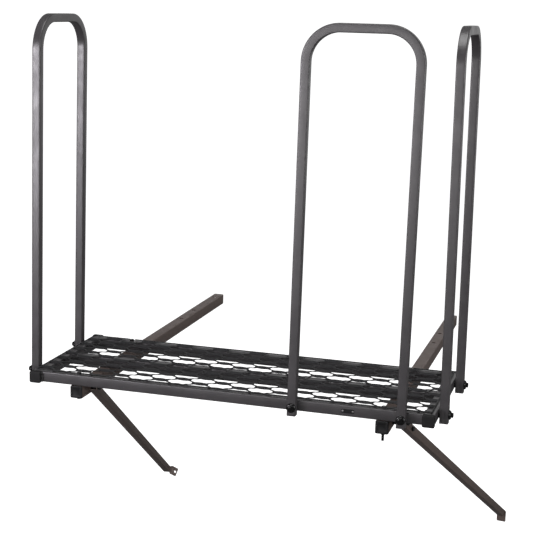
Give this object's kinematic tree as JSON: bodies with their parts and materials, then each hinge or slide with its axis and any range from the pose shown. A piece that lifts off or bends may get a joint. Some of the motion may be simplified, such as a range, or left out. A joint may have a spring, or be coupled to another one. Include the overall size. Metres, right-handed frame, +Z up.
{
  "type": "firewood log rack",
  "caption": "Outdoor firewood carrier: tube-framed deck with expanded-mesh floor, tall inverted-U tube uprights, long mounting arms under the deck and swinging diagonal braces.",
  "frame": {"origin": "between the two arms' undersides, level with their middle rear hole, where the carrier is bolted down on its support", "axes": "+X along the deck to the right as seen from the front, +Y back along the arms, +Z up"},
  "size_m": [1.3731, 1.3888, 1.8363],
  "materials": {
    "graphite_enamel": "satin graphite grey enamel",
    "bronze_enamel": "satin bronze brown enamel",
    "mesh_enamel": "satin black enamel",
    "black_plastic": "moulded matte black",
    "spacer_plastic": "moulded matte black",
    "black_fastener": "gloss black coated steel",
    "label_plate": "satin, blank"
  },
  "bodies": {
    "rack_frame": {"arm_bolt_back_left": "black_fastener", "arm_bolt_back_right": "black_fastener", "arm_bolt_front_left": "black_fastener", "arm_bolt_front_right": "black_fastener", "arm_cap_left": "black_plastic", "arm_cap_right": "black_plastic", "arm_left": "bronze_enamel", "arm_nut_back_left": "black_fastener", "arm_nut_back_right": "black_fastener", "arm_nut_front_left": "black_fastener", "arm_nut_front_right": "black_fastener", "arm_right": "bronze_enamel", "back_rail": "graphite_enamel", "cup_washer_front_1": "black_fastener", "cup_washer_front_2": "black_fastener", "cup_washer_left_1": "black_fastener", "cup_washer_left_2": "black_fastener", "cup_washer_right_1": "black_fastener", "cup_washer_right_2": "black_fastener", "end_rail_left": "graphite_enamel", "end_rail_right": "graphite_enamel", "front_rail": "graphite_enamel", "label_plate": "label_plate", "mesh_deck": "mesh_enamel", "middle_rail": "graphite_enamel", "pivot_bolt_left": "black_fastener", "pivot_bolt_right": "black_fastener", "pivot_nut_left": "black_fastener", "pivot_nut_right": "black_fastener", "pivot_spacer_right": "spacer_plastic", "rail_cap_back_left": "black_plastic", "rail_cap_back_right": "black_plastic", "rail_cap_front_left": "black_plastic", "rail_cap_front_right": "black_plastic", "spacer_front_1": "spacer_plastic", "spacer_front_2": "spacer_plastic", "spacer_left_1": "spacer_plastic", "spacer_left_2": "spacer_plastic", "spacer_right_1": "spacer_plastic", "spacer_right_2": "spacer_plastic", "upright_bolt_front_1": "black_fastener", "upright_bolt_front_2": "black_fastener", "upright_bolt_left_1": "black_fastener", "upright_bolt_left_2": "black_fastener", "upright_bolt_right_1": "black_fastener", "upright_bolt_right_2": "black_fastener", "upright_front": "graphite_enamel", "upright_left": "graphite_enamel", "upright_nut_front_1": "black_fastener", "upright_nut_front_2": "black_fastener", "upright_nut_left_1": "black_fastener", "upright_nut_left_2": "black_fastener", "upright_nut_right_1": "black_fastener", "upright_nut_right_2": "black_fastener", "upright_right": "graphite_enamel"},
    "left_brace": {"brace_left": "bronze_enamel"},
    "right_brace": {"brace_right": "bronze_enamel", "cross_bolt": "black_fastener", "cross_nut": "black_fastener"}
  },
  "joints": [
    {"name": "left_brace_pivot", "type": "hinge", "parent": "rack_frame", "child": "left_brace", "pos_m": [-0.43545, -0.984, 0.01905], "axis": [1, 0, 0], "range_deg": [-60, 0]},
    {"name": "right_brace_pivot", "type": "hinge", "parent": "rack_frame", "child": "right_brace", "pos_m": [0.50855, -0.984, 0.01905], "axis": [1, 0, 0], "range_deg": [-60, 25]}
  ]
}
